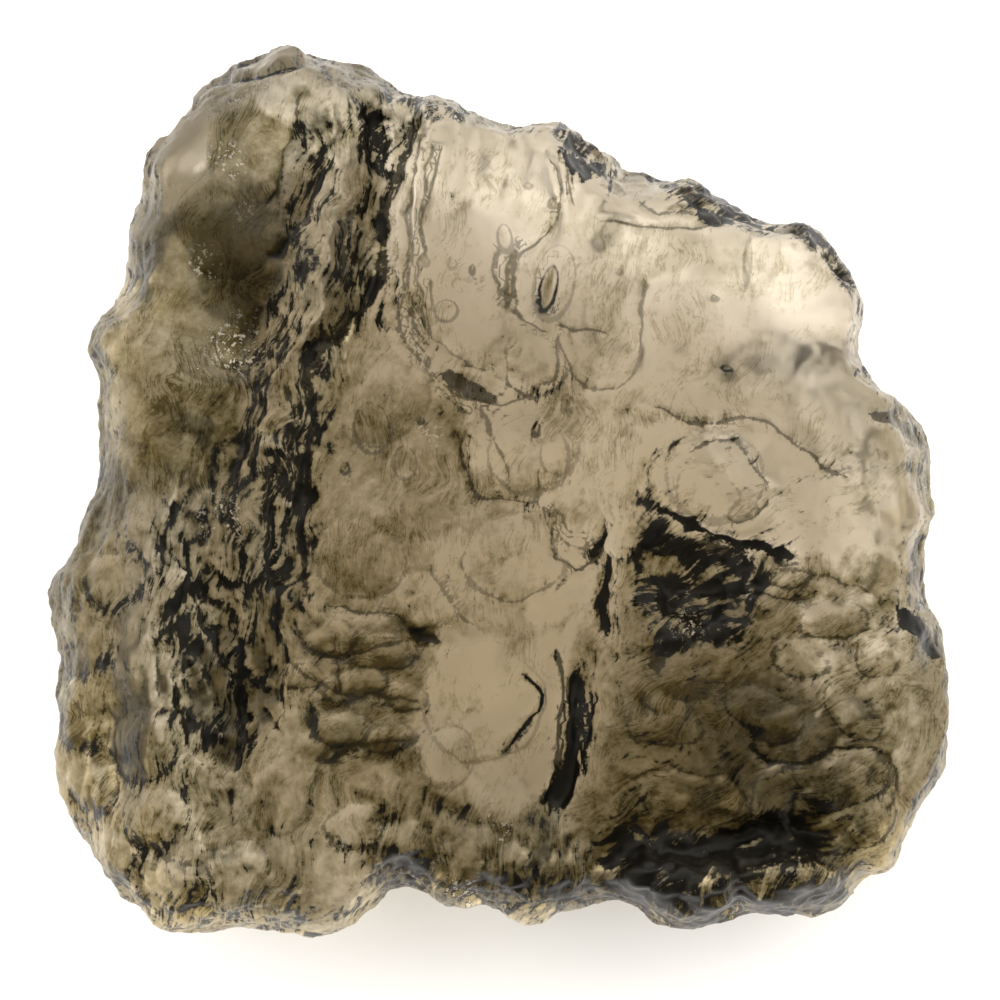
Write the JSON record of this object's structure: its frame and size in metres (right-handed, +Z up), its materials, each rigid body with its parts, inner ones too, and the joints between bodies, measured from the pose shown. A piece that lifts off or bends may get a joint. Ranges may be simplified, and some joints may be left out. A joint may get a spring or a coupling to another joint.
{
  "type": "raw moldavite",
  "caption": "Raw piece of translucent olive natural glass, a flattened plate with etched, pitted and furrowed faces and a ragged edge, lying on its back.",
  "frame": {"origin": "on the resting plane, under the middle of the stone's box", "axes": "+Z up, through the plate's thickness, out of the face that the picture shows; +Y towards the pointed end, which is the picture's top; +X to the picture's right"},
  "size_m": [0.03, 0.0298, 0.0094],
  "materials": {
    "moldavite_glass": "etched natural glass, translucent olive, satin with glossy pits"
  },
  "bodies": {
    "root": {"moldavite": "moldavite_glass"}
  },
  "joints": []
}
